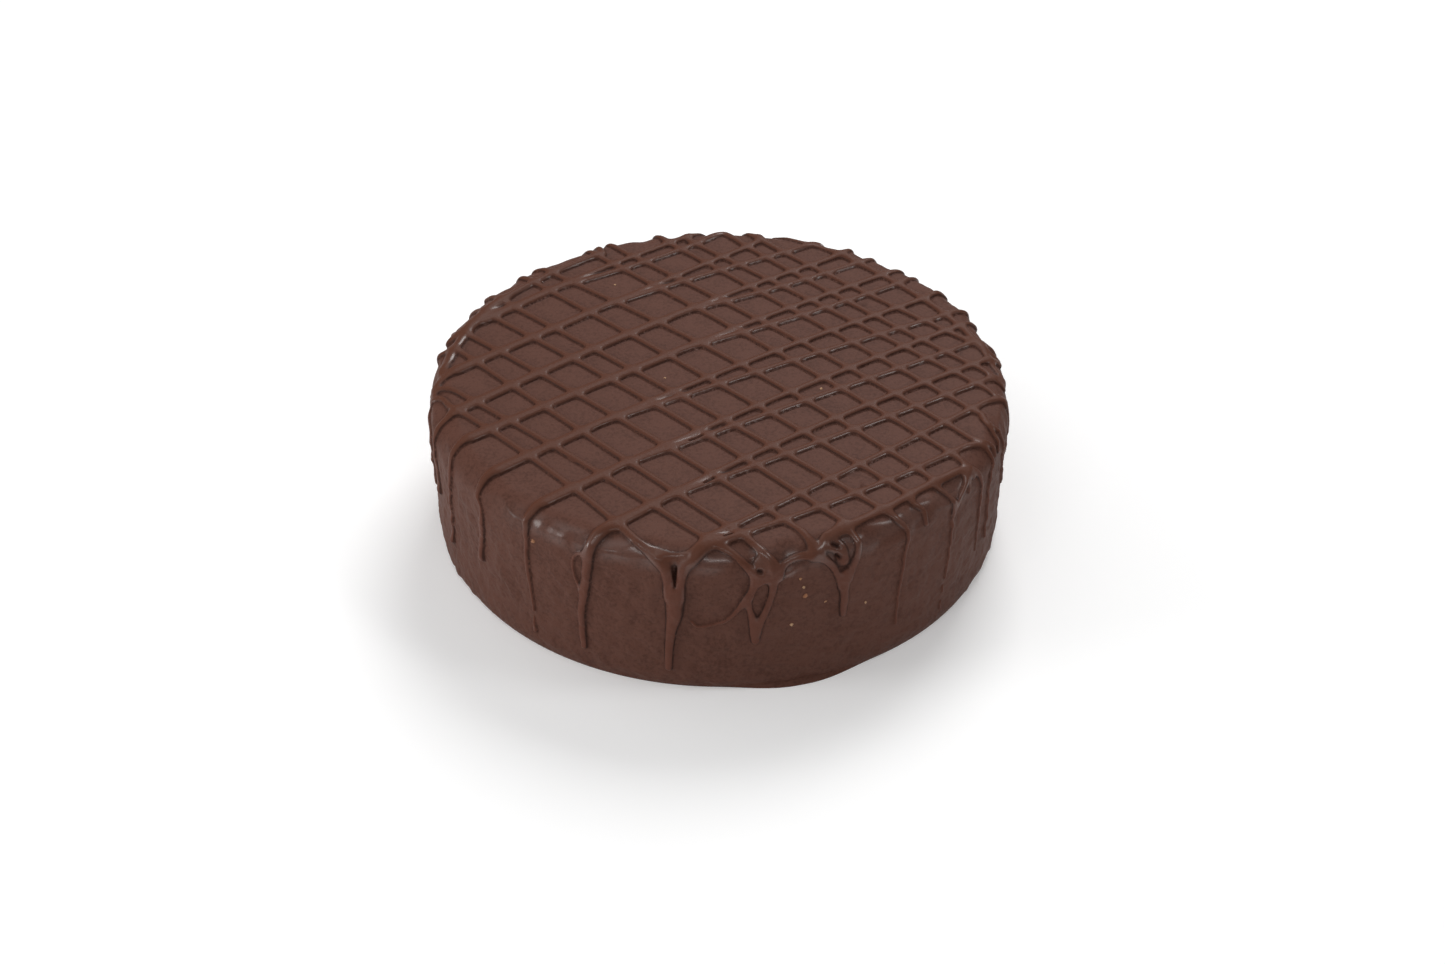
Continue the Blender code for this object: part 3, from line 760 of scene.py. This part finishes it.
def crumbs():
    """All the crumbs as one object of small closed lumps.

    Each is a ball in rows from pole to pole, flattened, stretched to a side and dented by waves,
    and sits half sunk in the glaze.
    """
    chance = np.random.default_rng(CRUMB_SEED)
    slope = np.linspace(0, math.pi, CRUMB_ROWS)[1:-1, None]
    turn = np.linspace(0, 2 * math.pi, CRUMB_COLUMNS, endpoint=False)
    ring = np.stack([np.sin(slope) * np.cos(turn), np.sin(slope) * np.sin(turn),
                     np.cos(slope) + 0 * turn], -1).reshape(-1, 3)
    ball = np.vstack([ring, [0, 0, 1], [0, 0, -1]])
    rows, columns = CRUMB_ROWS - 2, CRUMB_COLUMNS
    first = np.arange(columns)
    second = (first + 1) % columns
    row = np.arange(rows - 1)[:, None] * columns
    here, after = (row + first).ravel(), (row + second).ravel()
    quads = np.stack([here, here + columns, after + columns, after], -1)
    low = (rows - 1) * columns
    top, bottom = rows * columns, rows * columns + 1
    caps = np.vstack([np.stack([first, second, np.full(columns, top)], -1),
                      np.stack([second + low, first + low, np.full(columns, bottom)], -1)])
    points, all_quads, all_caps, pale = [], [], [], []
    for number, (angle, down, radius, paleness) in enumerate(CRUMBS):
        place, outward = skin(np.array([angle]), np.array([down]))
        out = outward[0]
        place = place[0] + out * unevenness(place, np.array([angle]), np.array([down]))[0]
        aside = np.cross(out, chance.normal(size=3))
        aside /= np.linalg.norm(aside)
        lump = ball * (1 + CRUMB_DENTS * waves(ball, DENT_SIZE, DENT_SEED + number)[:, None])
        lump = lump * [chance.uniform(*CRUMB_LENGTHS), 1, CRUMB_FLATNESS] * radius
        points.append(place + lump @ np.array([aside, np.cross(out, aside), out]))
        all_quads.append(quads + number * len(ball))
        all_caps.append(caps + number * len(ball))
        pale.append(np.full(len(ball), paleness))
    return mesh_piece("crumbs", np.vstack(points), np.vstack(all_quads), np.vstack(all_caps),
                      {"pale": np.concatenate(pale)})


# ---- materials
GLAZE_COLOUR = (0.078, 0.031, 0.0208, 1)
BLOOM_COLOUR = (0.119, 0.05, 0.035, 1)      # where the glaze is greyed by bloom
DRIZZLE_COLOUR = (0.0965, 0.0345, 0.02, 1)  # on the top
RUN_COLOUR = (0.11, 0.0396, 0.0252, 1)      # down the side
# Painted shade, laid into the creases at strands' feet and into the pits.
CREASE_SHADE_COLOUR = (0.018, 0.005, 0.0025, 1)
GLAZE_GRAIN = (700, 5, 0.7)  # waves to the metre, detail and harshness
GLAZE_CLOUDS = (110, 3, 0.5)  # and those of the slower mottling
GRAIN_SEEN = (0.35, 0.65)   # the stretch of the grain that the speckles show
SPECKLING = 0.8             # how strong the speckles are against the clouds
BLOOM_SEEN = (0.5, 1.25)    # between which sums of both the bloom comes in
GLAZE_ROUGHNESS = (0.62, 0.5)  # beside the drizzle, and on it
GLAZE_SPECULAR = 0.12
WETTEST, WET_ROUGHNESS = 0.8, 0.24  # most weight of the clear coat, and its roughness
GLAZE_BUMP = (0.6, 0.00025)  # strength, and height in metres

CRUMB_COLOUR = (0.24, 0.065, 0.018, 1)
PALE_CRUMB_COLOUR = (0.42, 0.25, 0.14, 1)
CRUMB_GRAIN = (2500, 2, 0.5)
CRUMB_MOTTLING = 0.4        # how much the grain changes a crumb's colour
CRUMB_ROUGHNESS = (0.65, 0.95)
CRUMB_BUMP = (1, 0.0001)


def grain_group():
    """The effect "grain": noise on Object coordinates, from 0 to 1."""
    group = bpy.data.node_groups.new("grain", "ShaderNodeTree")
    nodes, links = group.nodes, group.links
    given, put_out = nodes.new("NodeGroupInput"), nodes.new("NodeGroupOutput")
    place, noise = nodes.new("ShaderNodeTexCoord"), nodes.new("ShaderNodeTexNoise")
    group.interface.new_socket("Grain", in_out="OUTPUT", socket_type="NodeSocketFloat")
    for name in ("Scale", "Detail", "Roughness"):
        group.interface.new_socket(name, in_out="INPUT", socket_type="NodeSocketFloat")
        links.new(given.outputs[name], noise.inputs[name])
    links.new(place.outputs["Object"], noise.inputs["Vector"])
    links.new(noise.outputs["Fac"], put_out.inputs["Grain"])
    return group


GRAIN = grain_group()


def new_material(name):
    """A material with its tree of nodes and its Principled shader."""
    material = bpy.data.materials.new(name)
    material.use_nodes = True
    return material, material.node_tree, material.node_tree.nodes["Principled BSDF"]


def grain_of(tree, kind):
    """Grain of a fineness, a detail and a harshness."""
    node = tree.nodes.new("ShaderNodeGroup")
    node.node_tree = GRAIN
    for name, value in zip(("Scale", "Detail", "Roughness"), kind):
        node.inputs[name].default_value = value
    return node.outputs["Grain"]


def own_numbers(tree, name):
    """The numbers of that name that a piece's mesh holds."""
    node = tree.nodes.new("ShaderNodeAttribute")
    node.attribute_name = name
    return node.outputs["Fac"]


def ranged(tree, value, seen=(0, 1), wanted=(0, 1)):
    """The value, moved and stretched evenly so that the seen range becomes the wanted one."""
    node = tree.nodes.new("ShaderNodeMapRange")
    tree.links.new(value, node.inputs["Value"])
    node.inputs["From Min"].default_value, node.inputs["From Max"].default_value = seen
    node.inputs["To Min"].default_value, node.inputs["To Max"].default_value = wanted
    return node.outputs["Result"]


def weighed_sum(tree, value, weight, other):
    """The value times its weight plus the other value, held between 0 and 1."""
    node = tree.nodes.new("ShaderNodeMath")
    node.operation = "MULTIPLY_ADD"
    node.use_clamp = True
    tree.links.new(value, node.inputs[0])
    node.inputs[1].default_value = weight
    tree.links.new(other, node.inputs[2])
    return node.outputs["Value"]


def mixed(tree, share, *pair):
    """From the first of a pair of colours to the second. Each is a colour or a node's output."""
    node = tree.nodes.new("ShaderNodeMix")
    node.data_type = "RGBA"
    tree.links.new(share, node.inputs["Factor"])
    for name, colour in zip("AB", pair):
        if isinstance(colour, tuple):
            node.inputs[name].default_value = colour
        else:
            tree.links.new(colour, node.inputs[name])
    return node.outputs["Result"]


def finish_material(tree, shader, colour, roughness, height, bump):
    """Gives the shader its colour and roughness, and a bump of a strength and a height."""
    node = tree.nodes.new("ShaderNodeBump")
    node.inputs["Strength"].default_value, node.inputs["Distance"].default_value = bump
    tree.links.new(height, node.inputs["Height"])
    tree.links.new(node.outputs["Normal"], shader.inputs["Normal"])
    tree.links.new(colour, shader.inputs["Base Color"])
    tree.links.new(roughness, shader.inputs["Roughness"])


def chocolate_glaze():
    """Dark chocolate: satin, faintly greyed by bloom in speckles and clouds, redder where it was
    drizzled, lighter where it ran down, darkened by painted shade in the creases beside strands and
    in the pits, and glossy in places."""
    material, tree, shader = new_material("chocolate_glaze")
    grain, drizzled = grain_of(tree, GLAZE_GRAIN), own_numbers(tree, "drizzle")
    speckles = ranged(tree, grain, GRAIN_SEEN)
    clouded = weighed_sum(tree, speckles, SPECKLING, grain_of(tree, GLAZE_CLOUDS))
    glaze = mixed(tree, ranged(tree, clouded, BLOOM_SEEN), GLAZE_COLOUR, BLOOM_COLOUR)
    drizzle_colour = mixed(tree, own_numbers(tree, "run"), DRIZZLE_COLOUR, RUN_COLOUR)
    whole = mixed(tree, drizzled, glaze, drizzle_colour)
    # Painted shade: the creases at strands' feet and the pits are darkened in the base colour.
    colour = mixed(tree, own_numbers(tree, "edge"), whole, CREASE_SHADE_COLOUR)
    roughness = ranged(tree, drizzled, wanted=GLAZE_ROUGHNESS)
    finish_material(tree, shader, colour, roughness, grain, GLAZE_BUMP)
    shader.inputs["Specular IOR Level"].default_value = GLAZE_SPECULAR
    wet = ranged(tree, own_numbers(tree, "gloss"), wanted=(0, WETTEST))
    tree.links.new(wet, shader.inputs["Coat Weight"])
    shader.inputs["Coat Roughness"].default_value = WET_ROUGHNESS
    return material


def cake_crumb():
    """Sponge crumb, from orange brown to tan, mottled and rough."""
    material, tree, shader = new_material("cake_crumb")
    grain = grain_of(tree, CRUMB_GRAIN)
    paleness = weighed_sum(tree, grain, CRUMB_MOTTLING, own_numbers(tree, "pale"))
    colour = mixed(tree, paleness, CRUMB_COLOUR, PALE_CRUMB_COLOUR)
    roughness = ranged(tree, grain, wanted=CRUMB_ROUGHNESS)
    finish_material(tree, shader, colour, roughness, grain, CRUMB_BUMP)
    return material


# ---- the pieces
cake = glazed_cake()
cake.data.materials.append(chocolate_glaze())
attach(cake, "root")
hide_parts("cake")

specks = crumbs()
specks.data.materials.append(cake_crumb())
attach(specks, "root")

# ---- floor, light and camera
PHOTO_WIDTH, PHOTO_HEIGHT = 1445, 964
FOCAL_PIXELS = 2000.0       # focal length in the photo's pixels
CAMERA_DISTANCE = 0.8101    # metres, from the middle of the cake's height
LOOKS_DOWN = 36.885
ROLL = 0.4336
MIDDLE_PIXEL = (718.9, 439.93)  # where the middle of the cake lies in the photo
SENSOR_WIDTH = 36

FLOOR_REACH = 1.7           # metres from the middle of the floor to its sides
FLOOR_COLOUR = (0.9, 0.9, 0.9, 1)
FLOOR_ROUGHNESS, FLOOR_GLOW = 0.9, 0.18
WHITE = (1, 1, 1, 1)
SURROUND_LIGHT, SURROUND_SEEN = 0.19, 0.95  # how bright the surround lights, and how it looks

# Soft lamps: name, place, what it faces, width and height in metres, and power in watts. The one
# in front draws the ribbons on the shoulder, and the one at the right the lines along strands.
LAMPS = (
    ("behind", (0.35, 1.1, 1.3), (0, 0, 0.03), (0.8, 0.8), 17.5),
    ("overhead", (-0.6, 0.1, 1), (0, 0, 0.03), (1, 1), 2.5),
    ("front", (-0.15, -1.05, 1.05), (0, 0, 0.05), (1.3, 0.1), 4),
    ("right", (0.82, -0.14, 1), (0, 0, 0.05), (0.26, 0.26), 1.9),
    ("left", (-1.3, -0.3, 0.4), (0, 0, 0.03), (0.45, 0.45), 6.3),
)


def make_camera():
    """The camera: it looks along +Y and down, and lies where the cake's middle falls on its
    pixel."""
    down, roll = math.radians(LOOKS_DOWN), math.radians(ROLL)
    forward = Vector((0, math.cos(down), -math.sin(down)))
    right = Vector((1, 0, 0))
    up = right.cross(forward)
    tilted_right = right * math.cos(roll) + up * math.sin(roll)
    tilted_up = up * math.cos(roll) - right * math.sin(roll)
    aside = (MIDDLE_PIXEL[0] - PHOTO_WIDTH / 2) / FOCAL_PIXELS
    above = -(MIDDLE_PIXEL[1] - PHOTO_HEIGHT / 2) / FOCAL_PIXELS
    middle = Vector((0, 0, CAKE_HEIGHT / 2 * MM))
    place = middle - (forward + tilted_right * aside + tilted_up * above) * CAMERA_DISTANCE
    turned = Matrix((tilted_right, tilted_up, -forward)).transposed()
    camera = bpy.data.objects.new("camera", bpy.data.cameras.new("camera"))
    camera.data.sensor_width = SENSOR_WIDTH
    camera.data.lens = FOCAL_PIXELS * SENSOR_WIDTH / PHOTO_WIDTH
    camera.matrix_world = Matrix.Translation(place) @ turned.to_4x4()
    bpy.context.scene.collection.objects.link(camera)
    bpy.context.scene.camera = camera


def make_floor():
    """A plain white square floor, which glows faintly so that it looks as white as the surround."""
    mesh = bpy.data.meshes.new("floor")
    corners = [(x * FLOOR_REACH, y * FLOOR_REACH, 0)
               for x, y in ((-1, -1), (1, -1), (1, 1), (-1, 1))]
    mesh.from_pydata(corners, [], [(0, 1, 2, 3)])
    floor = bpy.data.objects.new("floor", mesh)
    material, _, shader = new_material("white_floor")
    shader.inputs["Base Color"].default_value = FLOOR_COLOUR
    shader.inputs["Roughness"].default_value = FLOOR_ROUGHNESS
    shader.inputs["Emission Color"].default_value = WHITE
    shader.inputs["Emission Strength"].default_value = FLOOR_GLOW
    mesh.materials.append(material)
    bpy.context.scene.collection.objects.link(floor)


def soft_light(name, place, aim, size, power):
    """A lamp of a width and a height at a place, facing the aim."""
    lamp = bpy.data.lights.new(name, "AREA")
    lamp.shape = "RECTANGLE"
    lamp.size, lamp.size_y = size
    lamp.energy = power
    light = bpy.data.objects.new(name, lamp)
    light.location = place
    light.rotation_euler = (Vector(aim) - Vector(place)).to_track_quat("-Z", "Y").to_euler()
    bpy.context.scene.collection.objects.link(light)


def make_world():
    """An even white surround that lights with one strength and looks as bright as the other."""
    world = bpy.data.worlds.new("white_surround")
    world.use_nodes = True
    tree = world.node_tree
    background = tree.nodes["Background"]
    background.inputs["Color"].default_value = WHITE
    ray = tree.nodes.new("ShaderNodeLightPath")
    bright = ranged(tree, ray.outputs["Is Camera Ray"], wanted=(SURROUND_LIGHT, SURROUND_SEEN))
    tree.links.new(bright, background.inputs["Strength"])
    bpy.context.scene.world = world


make_camera()
make_floor()
make_world()
for lamp in LAMPS:
    soft_light(*lamp)
bpy.context.scene.view_settings.view_transform = "Standard"
